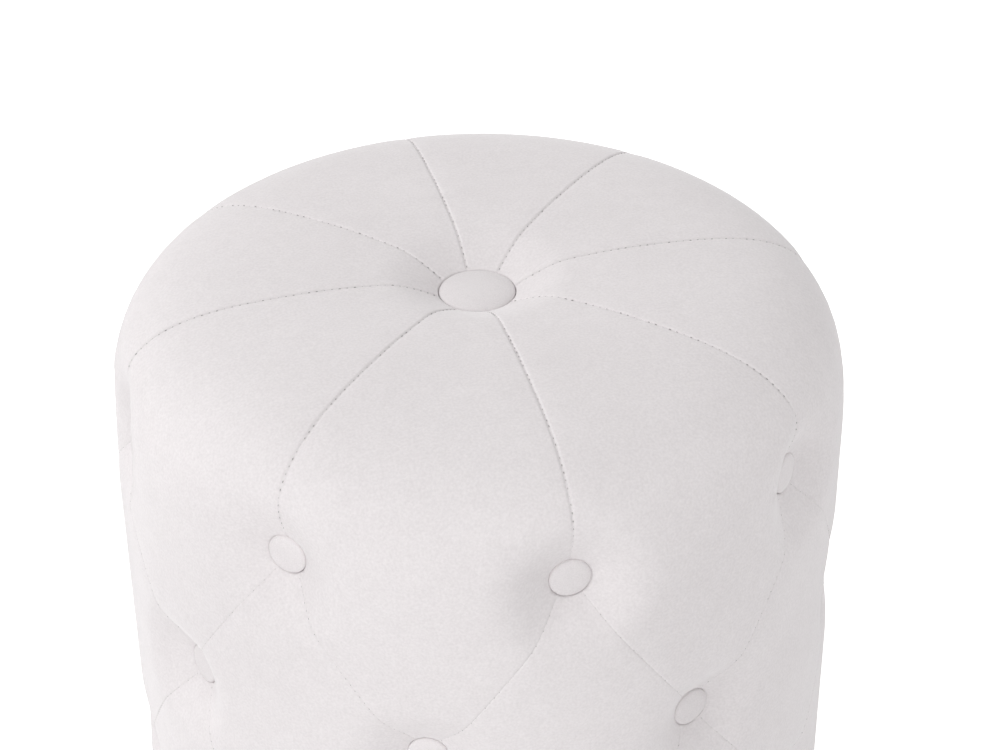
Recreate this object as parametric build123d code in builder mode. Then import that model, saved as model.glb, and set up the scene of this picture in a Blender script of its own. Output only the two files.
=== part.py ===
from build123d import *
import math
import os

os.makedirs("parts", exist_ok=True)

# A round tufted pouf. Millimetres, +Z up, z = 0 on the floor, the axis of the pouf on Z.
# The first row of buttons stands on the X and Y axes and on the diagonals between them.

# Overall form of the upholstery
POUF_DIAMETER = 370.0
POUF_HEIGHT = 464.0
SHOULDER_HEIGHT = 94.0  # height over which the wall turns into the seat
SHOULDER_FULLNESS = 6.0  # powers of the rounded shoulder: across and upwards
CROWN_FULLNESS = 3.8
SHOULDER_TURNS = (69, 57, 42, 18)  # degrees at which the shoulder is drawn, 90 on the wall, 0 in the middle
LINING_TURNS = (57, 33, 12)  # the same for the faces under the cover

# Tufting on the side
COLUMN_COUNT = 8
ROW_PITCH = 104.0
FIRST_ROW_DROP = 63.0  # crown of the seat to the first row of buttons
LOWEST_ROW_HEIGHT = 60.0  # no row is set lower than this
TUFT_DEPTH = 17.0  # crest of a diamond to the seat of a button
TUFT_SEAT = 27.0  # flat that the padding is pressed to under a button
TUFT_NECK = 8.0  # width of that flat where a straight seam runs into it
TUFT_GATHER = 4.0  # extra thickness of the cover where its fullness is gathered under a button
TUFT_REACH = 45.0  # distance from the flat at which the padding is back at its full height
TUFT_FLANK = (10.0, 24.0)  # distances from the flat at which the flank is drawn
SEAM_DEPTH = 1.5
SEAM_WIDTH = 3.0
LOBE_SHARES = (0.0, 0.16, 0.5, 0.84)  # where the padding between two seams is drawn

# Tuft in the middle of the seat
TOP_TUFT_DEPTH = 16.0
TOP_TUFT_SEAT = 42.0
TOP_TUFT_REACH = 60.0
TOP_TUFT_RINGS = (50.0, 25.0, 10.0)  # distances from the seat of the button at which the dip is drawn

# Layers
COVER_THICKNESS = 2.0
COVER_TURN_UNDER = 70.0  # width of the cover turned under the base
SIDE_PADDING = 31.0
SEAT_PADDING = 42.0
SOFT_GAP = 0.3
FIT_GAP = 0.1
FLATNESS = 1e-6

# Frame
WALL_THICKNESS = 3.0
WALL_JOINT = 2.0  # gap between the two edges of the bent wall sheet
BASE_THICKNESS = 15.0
TOP_THICKNESS = 12.0
POST_COUNT = 4
POST_WIDTH = 30.0
FRAME_NAIL_WIDTH = 2.0
FRAME_NAIL_LENGTH = 40.0
FRAME_NAIL_SPACING = 14.0  # between the two nails in each end of a post

# Buttons, twines and toggles
SIDE_BUTTON = 20.3
SIDE_BUTTON_RIM = 3.0
SIDE_BUTTON_DOME = ((12.0, 1.6),)  # diameters and rises over the rim at which the dome is drawn
SIDE_BUTTON_FACETS = 12
TOP_BUTTON = 38.1
TOP_BUTTON_RIM = 3.6
TOP_BUTTON_DOME = ((29.0, 1.8), (14.0, 2.6))
TOP_BUTTON_FACETS = 36
TWINE_WIDTH = 1.6
TWINE_HOLE = 2.4
WALL_HOLE = 5.0
TOGGLE_LENGTH = 16.0
TOGGLE_WIDTH = 6.0
TOGGLE_THICKNESS = 4.0

# Underside
DUST_COVER_DIAMETER = 286.0
DUST_COVER_THICKNESS = 1.0
GLIDE_COUNT = 4
GLIDE_DIAMETER = 24.0
GLIDE_HEIGHT = 5.0
GLIDE_CIRCLE = 250.0
GLIDE_NAIL_WIDTH = 2.4
GLIDE_NAIL_LENGTH = 15.0

# Sizes that follow from those above
crest_radius = POUF_DIAMETER / 2
column_step = 2 * math.pi / COLUMN_COUNT
seat_half = TUFT_SEAT / 2
tuft_radius = crest_radius - TUFT_DEPTH
first_row = POUF_HEIGHT - FIRST_ROW_DROP
row_count = int((first_row - LOWEST_ROW_HEIGHT) / ROW_PITCH) + 1
row_heights = [first_row - row * ROW_PITCH for row in range(row_count)]
hem_height = GLIDE_HEIGHT + DUST_COVER_THICKNESS
base_bottom = hem_height + COVER_THICKNESS
base_top = base_bottom + BASE_THICKNESS
frame_top = POUF_HEIGHT - SEAT_PADDING
top_bottom = frame_top - TOP_THICKNESS
wall_outer = crest_radius - COVER_THICKNESS - SIDE_PADDING
wall_inner = wall_outer - WALL_THICKNESS
disc_radius = wall_inner - FIT_GAP
post_face = math.sqrt(disc_radius**2 - (POST_WIDTH / 2) ** 2)
post_middle = post_face - POST_WIDTH / 2
post_angle = 360 / COLUMN_COUNT / 4  # half way between two columns of buttons
toggle_face = math.sqrt(wall_inner**2 - (TOGGLE_WIDTH / 2) ** 2) - FIT_GAP
top_seat_height = POUF_HEIGHT - TOP_TUFT_DEPTH
frame_nail_hole = FRAME_NAIL_WIDTH + FIT_GAP
glide_nail_hole = GLIDE_NAIL_WIDTH + FIT_GAP


def fade(distance, reach):
    """Full on the seat of a button, nothing at the end of its reach."""
    return (1 - min(1.0, max(0.0, distance / reach))) ** 3


def tuft_dip(turn, level):
    """How far the side buttons pull the padding in, at an angle and at a level measured up along the padding."""
    pull = 0.0
    for row, row_height in enumerate(row_heights):
        column = turn / column_step - row % 2 / 2
        across = crest_radius * column_step * (column - round(column))
        pull += fade(math.hypot(across, level - row_height) - seat_half, TUFT_REACH)
    return TUFT_DEPTH * pull


def padding_ring(place, level, half_angle, narrow, inset, seat_dip=None, crown_dip=0.0):
    """Points of one closed line round the padding: two sets of lobes in turn, parted by sixteen seams.

    The place is a radius, a height and a lean, from 0 on the wall to a right angle on the crown; dips are square to
    it. Lobes of set 0 stand on the columns of the odd rows, those of set 1 on the columns of the even rows, and
    half_angle is half the width of set 0. A set named narrow is all seam, or a flat seat where a seat_dip is given.
    """
    radius, height, lean = place
    points = []
    for column in range(COLUMN_COUNT):
        middle = column * column_step
        seams = (middle - half_angle, middle + half_angle, middle + column_step - half_angle)
        for lobe in (0, 1):
            for share in LOBE_SHARES:
                turn = seams[lobe] + share * (seams[lobe + 1] - seams[lobe])
                aside = 0.0
                dip = tuft_dip(turn, level)
                if share == 0 or lobe == narrow:
                    dip += SEAM_DEPTH
                    if seat_dip is not None:
                        dip = seat_dip
                        aside = math.remainder(turn - narrow * column_step / 2, column_step)
                drop = dip + crown_dip + inset
                reach = (radius - drop * math.cos(lean)) / math.cos(aside)
                points.append(Vector(reach * math.cos(turn), reach * math.sin(turn), height - drop * math.sin(lean)))
    return points


def narrow_ring(place, level, narrow, half_width, inset, seat_dip=None, crown_dip=0.0):
    """A ring at which one set of lobes has closed to a seam or to the seats of a row of buttons."""
    half_angle = math.atan(half_width / place[0])
    if narrow == 1:
        half_angle = column_step / 2 - half_angle
    return padding_ring(place, level, half_angle, narrow, inset, seat_dip, crown_dip)


def diamond_opening(distance):
    """Half the width between the two seams that part under a button, at a distance from it."""
    return crest_radius * column_step / 2 * distance / ROW_PITCH


def seat_ring(row, offset, dip, inset):
    """A ring across the seats of a row of buttons, on its middle or on one of its edges."""
    half_width = seat_half
    if offset != 0:
        straight = (row == 0 and offset > 0) or (row == row_count - 1 and offset < 0)
        half_width = TUFT_NECK / 2 if straight else diamond_opening(seat_half)
    level = row_heights[row] + offset
    return narrow_ring((crest_radius, level, 0), level, row % 2, half_width, inset, dip)


def diamond_ring(level, upper, inset):
    """A ring across the diamonds, between a row of buttons and the row under it."""
    half_angle = diamond_opening(row_heights[upper] - level) / crest_radius
    if upper % 2 == 1:
        half_angle = column_step / 2 - half_angle
    return padding_ring((crest_radius, level, 0), level, half_angle, None, inset)


def shoulder_place(radius):
    """Radius, height and lean of the padding where the shoulder has drawn in to a radius."""
    share = radius / crest_radius
    rise = (1 - share**SHOULDER_FULLNESS) ** (1 / CROWN_FULLNESS)
    slope_out = SHOULDER_FULLNESS / crest_radius * share ** (SHOULDER_FULLNESS - 1)
    slope_up = CROWN_FULLNESS / SHOULDER_HEIGHT * rise ** (CROWN_FULLNESS - 1)
    return radius, POUF_HEIGHT - SHOULDER_HEIGHT * (1 - rise), math.atan2(slope_up, slope_out)


def frame_top_ring(inset):
    """The ring level with the top of the frame, where the wrap of the side ends and the pad of the seat begins."""
    rise = 1 - SEAT_PADDING / SHOULDER_HEIGHT
    radius = crest_radius * (1 - rise**CROWN_FULLNESS) ** (1 / SHOULDER_FULLNESS)
    return narrow_ring((radius, frame_top, 0), frame_top, 0, SEAM_WIDTH / 2, inset)


def side_rings(bottom, inset, fine):
    """Rings from the hem up to the last row of seats; the faces under the cover are drawn with fewer."""
    last = row_count - 1
    low = row_heights[last] - seat_half
    levels = [bottom]
    if fine:
        levels += [low - step for step in (TUFT_REACH, *reversed(TUFT_FLANK))]
    rings = [narrow_ring((crest_radius, level, 0), level, last % 2, SEAM_WIDTH / 2, inset) for level in levels]
    for row in range(last, -1, -1):
        if fine:
            rings += [seat_ring(row, offset, TUFT_DEPTH, inset) for offset in (-seat_half, 0, seat_half)]
        else:
            rings.append(seat_ring(row, 0, TUFT_DEPTH + TUFT_GATHER, inset))
        if row > 0:
            under = row_heights[row] + seat_half
            over = row_heights[row - 1] - seat_half
            levels = [(under + over) / 2]
            if fine:
                levels = [under + step for step in TUFT_FLANK] + levels
                levels += [over - step for step in reversed(TUFT_FLANK)]
            rings += [diamond_ring(level, row - 1, inset) for level in levels]
    if not fine:
        rings.append(seat_ring(0, seat_half, TUFT_DEPTH, inset))
    return rings


def seat_rings(inset, turns, dip_rings):
    """Rings from the top of the frame over the shoulder to the button in the middle of the seat."""
    rings = [frame_top_ring(inset)]
    seat = TOP_TUFT_SEAT / 2
    shares = [math.sin(math.radians(turn)) ** (2 / SHOULDER_FULLNESS) for turn in turns]
    radii = [crest_radius * share for share in shares] + [seat + ring for ring in dip_rings]
    level = frame_top
    before = (crest_radius, frame_top)
    for radius in radii:
        place = shoulder_place(radius)
        level += math.hypot(place[0] - before[0], place[1] - before[1])
        before = place
        dip = TOP_TUFT_DEPTH * fade(radius - seat, TOP_TUFT_REACH)
        rings.append(narrow_ring(place, level, 0, SEAM_WIDTH / 2, inset, crown_dip=dip))
    place = (seat, POUF_HEIGHT, math.pi / 2)
    flat = padding_ring(place, level + seat, math.atan(SEAM_WIDTH / 2 / seat), 0, inset, 0.0, TOP_TUFT_DEPTH)
    rings.append(flat)
    return rings


def strip_faces(lower, upper):
    """Flat faces between two rings of points: one where four corners lie in a plane, or else two triangles."""
    faces = []
    for place in range(len(lower)):
        corners = [lower[place - 1], lower[place], upper[place], upper[place - 1]]
        normal = (corners[2] - corners[0]).cross(corners[3] - corners[1]).normalized()
        if abs(normal.dot(corners[1] - corners[0])) < FLATNESS:
            faces.append(Face(Wire.make_polygon(corners)))
            continue
        if (corners[2] - corners[0]).length > (corners[3] - corners[1]).length:
            corners = corners[1:] + corners[:1]
        faces.append(Face(Wire.make_polygon(corners[:3])))
        faces.append(Face(Wire.make_polygon([corners[2], corners[3], corners[0]])))
    return faces


def ring_faces(rings):
    faces = []
    for lower, upper in zip(rings, rings[1:]):
        faces += strip_faces(lower, upper)
    return faces


def padding_solid(rings):
    """A closed body drawn through rings of points, with a flat face at both ends."""
    caps = [Face(Wire.make_polygon(ring)) for ring in (rings[0], rings[-1])]
    return Solid(Shell(ring_faces(rings) + caps))


def covered_button(diameter, rim, dome, facets):
    """A covered button with its back on z = 0, drawn from its back over its rim to the flat in the middle."""
    outline = [(diameter, 0), (diameter, rim)] + [(width, rim + rise) for width, rise in dome]
    turns = [2 * math.pi * facet / facets for facet in range(facets)]
    rings = []
    for width, height in outline:
        rings.append([Vector(width / 2 * math.cos(turn), width / 2 * math.sin(turn), height) for turn in turns])
    return padding_solid(rings)


# Where each button sits: row, and a plane whose Z points out of the padding
button_planes = []
for row in range(row_count):
    for column in range(COLUMN_COUNT):
        turn = column_step * (column + (row % 2) / 2)
        outward = Vector(math.cos(turn), math.sin(turn), 0)
        origin = outward * tuft_radius + Vector(0, 0, row_heights[row])
        button_planes.append((row, Plane(origin=origin, x_dir=(0, 0, 1), z_dir=outward)))
top_plane = Plane(origin=(0, 0, top_seat_height), x_dir=(1, 0, 0), z_dir=(0, 0, 1))
every_plane = [plane for row, plane in button_planes] + [top_plane]

glide_spots = PolarLocations(GLIDE_CIRCLE / 2, GLIDE_COUNT, start_angle=180 / GLIDE_COUNT).locations
post_spots = PolarLocations(post_middle, POST_COUNT, start_angle=post_angle).locations
nail_spots = [spot * Pos(0, side * FRAME_NAIL_SPACING / 2, 0) for spot in post_spots for side in (-1, 1)]

# Velvet cover: one tufted skin, turned under the base at the hem
outside = side_rings(hem_height, 0, True) + seat_rings(0, SHOULDER_TURNS, TOP_TUFT_RINGS)
inside = side_rings(base_bottom, COVER_THICKNESS, False)
inside += seat_rings(COVER_THICKNESS, LINING_TURNS, TOP_TUFT_RINGS[1:2])
lip = 1 - COVER_TURN_UNDER / crest_radius
outside.insert(0, [Vector(point.X * lip, point.Y * lip, hem_height) for point in outside[0]])
inside.insert(0, [Vector(point.X, point.Y, base_bottom) for point in outside[0]])
cover_faces = ring_faces(outside) + ring_faces(inside) + strip_faces(outside[0], inside[0])
cover_faces += [Face(Wire.make_polygon(outside[-1])), Face(Wire.make_polygon(inside[-1]))]
with BuildPart() as velvet_cover:
    add(Solid(Shell(cover_faces)))
    with Locations(*[Location(plane) for plane in every_plane]):
        Box(TWINE_HOLE, TWINE_HOLE, 4 * (COVER_THICKNESS + TUFT_GATHER), mode=Mode.SUBTRACT)
    with Locations(*[spot * Pos(0, 0, hem_height) for spot in glide_spots]):
        Box(glide_nail_hole, glide_nail_hole, 4 * COVER_THICKNESS, mode=Mode.SUBTRACT)
velvet_cover.part.label = "velvet_cover"
export_step(velvet_cover.part, "parts/velvet_cover.step")

# Foam wrap round the side, pressed in by every button
foam_inset = COVER_THICKNESS + SOFT_GAP
with BuildPart() as side_foam:
    wrap = side_rings(base_bottom + SOFT_GAP, foam_inset, False)
    add(padding_solid(wrap + [frame_top_ring(foam_inset)]))
    with BuildSketch(Plane.XY.offset(base_bottom)) as side_core:
        Circle(wall_outer + SOFT_GAP)
    extrude(amount=frame_top - base_bottom, mode=Mode.SUBTRACT)
    with Locations(*[Location(plane) for row, plane in button_planes]):
        Box(TWINE_HOLE, TWINE_HOLE, 2 * SIDE_PADDING, mode=Mode.SUBTRACT)
side_foam.part.label = "side_foam"
export_step(side_foam.part, "parts/side_foam.step")

# Foam pad on the seat
with BuildPart() as top_foam:
    add(padding_solid(seat_rings(foam_inset, LINING_TURNS, TOP_TUFT_RINGS[1:2])))
    with Locations(Location(top_plane)):
        Box(TWINE_HOLE, TWINE_HOLE, 2 * SEAT_PADDING, mode=Mode.SUBTRACT)
top_foam.part.label = "top_foam"
export_step(top_foam.part, "parts/top_foam.step")

# Plywood base, with holes for the nails of the posts and of the glides
with BuildPart() as base_disc:
    with BuildSketch(Plane.XY.offset(base_bottom)) as base_outline:
        Circle(disc_radius)
    extrude(amount=BASE_THICKNESS)
    with Locations(*[spot * Pos(0, 0, base_bottom) for spot in nail_spots]):
        Box(frame_nail_hole, frame_nail_hole, 4 * BASE_THICKNESS, mode=Mode.SUBTRACT)
    with Locations(*[spot * Pos(0, 0, GLIDE_HEIGHT) for spot in glide_spots]):
        Box(glide_nail_hole, glide_nail_hole, 2 * GLIDE_NAIL_LENGTH, mode=Mode.SUBTRACT)
base_disc.part.label = "base_disc"
export_step(base_disc.part, "parts/base_disc.step")

# Plywood top, with holes for the nails and for the twine of the top button
with BuildPart() as top_disc:
    with BuildSketch(Plane.XY.offset(top_bottom)) as top_outline:
        Circle(disc_radius)
        Rectangle(WALL_HOLE, WALL_HOLE, mode=Mode.SUBTRACT)
    extrude(amount=TOP_THICKNESS)
    with Locations(*[spot * Pos(0, 0, top_bottom) for spot in nail_spots]):
        Box(frame_nail_hole, frame_nail_hole, 4 * TOP_THICKNESS, mode=Mode.SUBTRACT)
top_disc.part.label = "top_disc"
export_step(top_disc.part, "parts/top_disc.step")

# Posts between the two discs, with two nail holes in each end
for number, spot in enumerate(post_spots, start=1):
    with BuildPart() as post:
        with BuildSketch(Plane(spot * Pos(0, 0, base_top))) as post_section:
            Rectangle(POST_WIDTH, POST_WIDTH)
        extrude(amount=top_bottom - base_top)
        for side in (-1, 1):
            with Locations(spot * Pos(0, side * FRAME_NAIL_SPACING / 2, 0)):
                with Locations((0, 0, base_bottom), (0, 0, frame_top)):
                    Box(frame_nail_hole, frame_nail_hole, 2 * FRAME_NAIL_LENGTH, mode=Mode.SUBTRACT)
    post.part.label = f"frame_post_{number}"
    export_step(post.part, f"parts/frame_post_{number}.step")

# Frame nails, driven through the discs into the posts
with BuildPart() as frame_nails:
    with Locations(*[spot * Pos(0, 0, base_bottom) for spot in nail_spots]):
        Box(FRAME_NAIL_WIDTH, FRAME_NAIL_WIDTH, FRAME_NAIL_LENGTH, align=(Align.CENTER, Align.CENTER, Align.MIN))
    with Locations(*[spot * Pos(0, 0, frame_top) for spot in nail_spots]):
        Box(FRAME_NAIL_WIDTH, FRAME_NAIL_WIDTH, FRAME_NAIL_LENGTH, align=(Align.CENTER, Align.CENTER, Align.MAX))
frame_nails.part.label = "frame_nails"
export_step(frame_nails.part, "parts/frame_nails.step")

# Thin wall sheet bent round the discs; its edges meet on the first post
with BuildPart() as wall_sheet:
    with BuildSketch(Plane.XY.offset(base_bottom)) as wall_section:
        Circle(wall_outer)
        Circle(wall_inner, mode=Mode.SUBTRACT)
        with PolarLocations(wall_outer, 1, start_angle=post_angle):
            Rectangle(4 * WALL_THICKNESS, WALL_JOINT, mode=Mode.SUBTRACT)
    extrude(amount=frame_top - base_bottom)
    with Locations(*[Location(plane) for row, plane in button_planes]):
        Box(WALL_HOLE, WALL_HOLE, 2 * (tuft_radius - wall_inner + WALL_THICKNESS), mode=Mode.SUBTRACT)
wall_sheet.part.label = "wall_sheet"
export_step(wall_sheet.part, "parts/wall_sheet.step")

# Covered buttons on the side, one group for each row
side_button = covered_button(SIDE_BUTTON, SIDE_BUTTON_RIM, SIDE_BUTTON_DOME, SIDE_BUTTON_FACETS)
for number in range(row_count):
    with BuildPart() as side_buttons:
        with Locations(*[Location(plane) for row, plane in button_planes if row == number]):
            add(side_button)
    side_buttons.part.label = f"side_buttons_row_{number + 1}"
    export_step(side_buttons.part, f"parts/side_buttons_row_{number + 1}.step")

# Large covered button in the middle of the seat
with BuildPart() as top_button:
    with Locations(Location(top_plane)):
        add(covered_button(TOP_BUTTON, TOP_BUTTON_RIM, TOP_BUTTON_DOME, TOP_BUTTON_FACETS))
top_button.part.label = "top_button"
export_step(top_button.part, "parts/top_button.step")

# Twine behind every button, drawn to the toggle inside the frame
with BuildPart() as button_twines:
    with BuildSketch(*[plane for row, plane in button_planes]) as side_twines:
        Rectangle(TWINE_WIDTH, TWINE_WIDTH)
    extrude(amount=-(tuft_radius - toggle_face))
    with BuildSketch(top_plane) as top_twine:
        Rectangle(TWINE_WIDTH, TWINE_WIDTH)
    extrude(amount=-(top_seat_height - top_bottom))
button_twines.part.label = "button_twines"
export_step(button_twines.part, "parts/button_twines.step")

# Toggles that bear on the inside of the wall and on the underside of the top
with BuildPart() as twine_toggles:
    with Locations(*[Location(plane) * Pos(0, 0, toggle_face - tuft_radius) for row, plane in button_planes]):
        Box(TOGGLE_LENGTH, TOGGLE_WIDTH, TOGGLE_THICKNESS, align=(Align.CENTER, Align.CENTER, Align.MAX))
    with Locations((0, 0, top_bottom)):
        Box(TOGGLE_LENGTH, TOGGLE_WIDTH, TOGGLE_THICKNESS, align=(Align.CENTER, Align.CENTER, Align.MAX))
twine_toggles.part.label = "twine_toggles"
export_step(twine_toggles.part, "parts/twine_toggles.step")

# Dust cover under the base
with BuildPart() as dust_cover:
    with BuildSketch(Plane.XY.offset(GLIDE_HEIGHT)) as dust_outline:
        Circle(DUST_COVER_DIAMETER / 2)
    extrude(amount=DUST_COVER_THICKNESS)
    with Locations(*[spot * Pos(0, 0, GLIDE_HEIGHT) for spot in glide_spots]):
        Box(glide_nail_hole, glide_nail_hole, 4 * DUST_COVER_THICKNESS, mode=Mode.SUBTRACT)
dust_cover.part.label = "dust_cover"
export_step(dust_cover.part, "parts/dust_cover.step")

# Plastic glides that the pouf stands on
with BuildPart() as glides:
    with Locations(*glide_spots):
        Cylinder(GLIDE_DIAMETER / 2, GLIDE_HEIGHT, align=(Align.CENTER, Align.CENTER, Align.MIN))
glides.part.label = "glides"
export_step(glides.part, "parts/glides.step")

# Nails of the glides, driven into the base
with BuildPart() as glide_nails:
    with Locations(*[spot * Pos(0, 0, GLIDE_HEIGHT) for spot in glide_spots]):
        Box(GLIDE_NAIL_WIDTH, GLIDE_NAIL_WIDTH, GLIDE_NAIL_LENGTH, align=(Align.CENTER, Align.CENTER, Align.MIN))
glide_nails.part.label = "glide_nails"
export_step(glide_nails.part, "parts/glide_nails.step")
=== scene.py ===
# %% [markdown]
# # A round tufted pouf in off-white velvet
#
# The pouf is a stiff drum wrapped in foam and dressed in velvet. A large covered button pulls the
# middle of the seat down, eight seams run from it over the shoulder to a first row of small
# buttons, and below that the seams cross in diamonds from row to row. The frame that is loaded
# here holds every solid at its true place and size, in metres. The hard pieces keep their own
# solids and only get a finish. The soft pieces are made again, finer, and replace theirs.

# %% Load the frame
import math

import bpy
import numpy as np
from mathutils import Matrix, Vector


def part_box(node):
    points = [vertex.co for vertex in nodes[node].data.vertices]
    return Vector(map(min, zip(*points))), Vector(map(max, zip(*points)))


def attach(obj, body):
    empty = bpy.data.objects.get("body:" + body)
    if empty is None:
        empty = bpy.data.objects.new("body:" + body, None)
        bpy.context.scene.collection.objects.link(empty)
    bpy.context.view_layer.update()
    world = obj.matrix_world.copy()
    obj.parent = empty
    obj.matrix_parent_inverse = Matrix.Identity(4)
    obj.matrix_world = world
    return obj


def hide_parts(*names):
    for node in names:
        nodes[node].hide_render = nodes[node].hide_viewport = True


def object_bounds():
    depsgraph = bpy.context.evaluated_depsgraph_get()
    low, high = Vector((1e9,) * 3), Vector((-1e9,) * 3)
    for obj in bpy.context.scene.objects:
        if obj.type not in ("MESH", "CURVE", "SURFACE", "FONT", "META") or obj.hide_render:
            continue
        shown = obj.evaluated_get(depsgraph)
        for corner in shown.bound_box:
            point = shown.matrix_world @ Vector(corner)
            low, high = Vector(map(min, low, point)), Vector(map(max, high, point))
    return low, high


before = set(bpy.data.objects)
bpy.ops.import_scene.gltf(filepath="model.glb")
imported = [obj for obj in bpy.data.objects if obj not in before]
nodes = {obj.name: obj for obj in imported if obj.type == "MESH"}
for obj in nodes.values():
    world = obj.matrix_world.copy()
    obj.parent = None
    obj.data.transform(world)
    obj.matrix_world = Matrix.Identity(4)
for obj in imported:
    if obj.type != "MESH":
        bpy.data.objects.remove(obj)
cad_low, cad_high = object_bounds()
cad_size = cad_high - cad_low
print(f"{len(nodes)} solids, {cad_size.x:.3f} m across and {cad_size.z:.3f} m high")

# %% [markdown]
# ## Sizes
#
# Sizes that the frame already knows are read from the boxes of its solids, so the dressed pouf
# follows the solids if they change. Only the forms that a box can't tell, such as how full the
# shoulder is, are written here again.

# %% Read the sizes from the solids
ROW_COUNT, COLUMN_COUNT = 4, 8
cover_low, cover_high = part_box("velvet_cover")
body_radius, hem_height = cover_high[0], cover_low[2]
row_names = [f"side_buttons_row_{row}" for row in range(1, ROW_COUNT + 1)]
row_boxes = [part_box(name) for name in row_names]
row_heights = [(low[2] + high[2]) / 2 for low, high in row_boxes]
row_pitch = row_heights[0] - row_heights[1]
side_button_radius = (row_boxes[0][1][2] - row_boxes[0][0][2]) / 2
top_button_low, top_button_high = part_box("top_button")
top_button_radius = top_button_high[0]
column_step = 2 * math.pi / COLUMN_COUNT
print("rows of buttons at", [round(height, 3) for height in row_heights])

# %% [markdown]
# ## The line that the velvet follows
#
# Cut the pouf through its axis and the velvet is one line: in under the base, round the lower
# edge, up the straight wall, over the full shoulder and across the seat to the middle. The
# shoulder is a superellipse, which stays flat on the seat and on the wall and turns quickly
# between them. All later forms are drawn in two numbers, the angle round the axis and the level
# along this line, so a dimple keeps its shape where the wall turns into the seat.

# %% Draw the profile
CROWN_HEIGHT, SHOULDER_HEIGHT = 0.464, 0.094
SHOULDER_FULLNESS, CROWN_FULLNESS = 6.0, 3.8
HEM_ROUND, TURN_UNDER = 0.011, 0.070
SHOULDER_POINTS, HEM_POINTS = 12001, 60
spread = np.linspace(0, 1, SHOULDER_POINTS)
sweep = math.pi / 2 * (3 * spread**2 - 2 * spread**3)
shoulder_radii = body_radius * np.cos(sweep).clip(0) ** (2 / SHOULDER_FULLNESS)
shoulder_heights = CROWN_HEIGHT - SHOULDER_HEIGHT * (1 - np.sin(sweep) ** (2 / CROWN_FULLNESS))
hem_sweep = np.linspace(-math.pi / 2, 0, HEM_POINTS)
hem_radii = body_radius - HEM_ROUND + HEM_ROUND * np.cos(hem_sweep)
hem_heights = hem_height + HEM_ROUND + HEM_ROUND * np.sin(hem_sweep)
line_radii = np.concatenate([[body_radius - TURN_UNDER], hem_radii, shoulder_radii])
line_heights = np.concatenate([[hem_height], hem_heights, shoulder_heights])
print(len(line_radii), "points on the profile")

# %% Measure along it
TINY_RISE = 1e-9  # keeps any two levels apart, so that the slope can be worked out
line_steps = np.hypot(np.diff(line_radii), np.diff(line_heights))
line_levels = np.concatenate([[0], np.cumsum(line_steps)])
# On the wall, the level is the height over the floor.
line_levels += hem_height + HEM_ROUND - line_levels[HEM_POINTS]
rising_levels = line_levels + TINY_RISE * np.arange(len(line_levels))
line_leans = np.arctan2(-np.gradient(line_radii, rising_levels),
                        np.gradient(line_heights, rising_levels))
lip_level, middle_level = line_levels[0], line_levels[-1]
print(f"the profile is {middle_level - lip_level:.3f} m long")


# %% Place points by angle and level
def on_profile(level):
    """Radius, height and lean at a level; the lean is 0 on the wall, a right angle on the seat."""
    lines = (line_radii, line_heights, line_leans)
    return [np.interp(level, line_levels, line) for line in lines]


def round_axis(radius, turn, height):
    """Points at a radius, an angle and a height."""
    parts = np.broadcast_arrays(radius * np.cos(turn), radius * np.sin(turn), height)
    return np.stack(parts, axis=-1)


def velvet_points(turn, level, drop):
    """Points at an angle and a level, sunk by a drop square to the profile."""
    radius, height, lean = on_profile(level)
    return round_axis(radius - drop * np.cos(lean), turn, height - drop * np.sin(lean))


def outward_at(turn, level):
    """The direction square to the profile, away from the foam."""
    lean = on_profile(level)[2]
    return round_axis(np.cos(lean), turn, np.sin(lean))


def level_at_radius(radius):
    """The level on the seat at a distance from the axis."""
    on_seat = line_levels > row_heights[0]
    return float(np.interp(-radius, -line_radii[on_seat], line_levels[on_seat]))


print(f"the rim of the top button is at level {level_at_radius(top_button_radius):.3f}")

# %% [markdown]
# ## How the buttons pull the velvet in
#
# A tufting twine draws each button into the foam. The velvet round it falls in a soft funnel,
# steep at the button and flat a few centimetres away, and closes round the rim of the button, so
# that only the domed face shows. The funnel is the sum of two fading powers, a narrow one and a
# wider one, and the small step to the pocket under the button is a smooth one. Writing this as a
# formula keeps all 33 tufts alike and leaves plain numbers to set.

# %% Distances to the buttons
FAR_AWAY = 9.0  # metres, where no button is near
half_column = body_radius * column_step / 2
diamond_slant = half_column / row_pitch


def nearest_button(turn, level):
    """Distance to the nearest side button, and how much the way there follows a seam, 0 to 1."""
    radius = on_profile(level)[0]
    nearest = np.full(np.broadcast(turn, level).shape, FAR_AWAY)
    along_seam = np.zeros(nearest.shape)
    for row, row_height in enumerate(row_heights):
        column = turn / column_step - row % 2 / 2
        across = radius * column_step * (column - np.round(column))
        up = level - row_height
        distance = np.hypot(across, up)
        slanted = np.sin(2 * np.arctan2(up * diamond_slant, across)) ** 2
        straight = np.sin(np.arctan2(up, across)) ** 2
        outer = ((row == 0) & (up > 0)) | ((row == ROW_COUNT - 1) & (up < 0))
        along_seam = np.where(distance < nearest, np.where(outer, straight, slanted), along_seam)
        nearest = np.minimum(nearest, distance)
    return nearest, along_seam


def side_distance(turn, level):
    """Distance over the velvet to the nearest side button."""
    return nearest_button(turn, level)[0]


def seat_distance(level):
    """Distance from the middle of the seat, for levels on the seat."""
    return np.where(level > row_heights[0], on_profile(level)[0], FAR_AWAY)


print(f"the buttons of a row are {2 * half_column:.3f} m apart")

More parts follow.
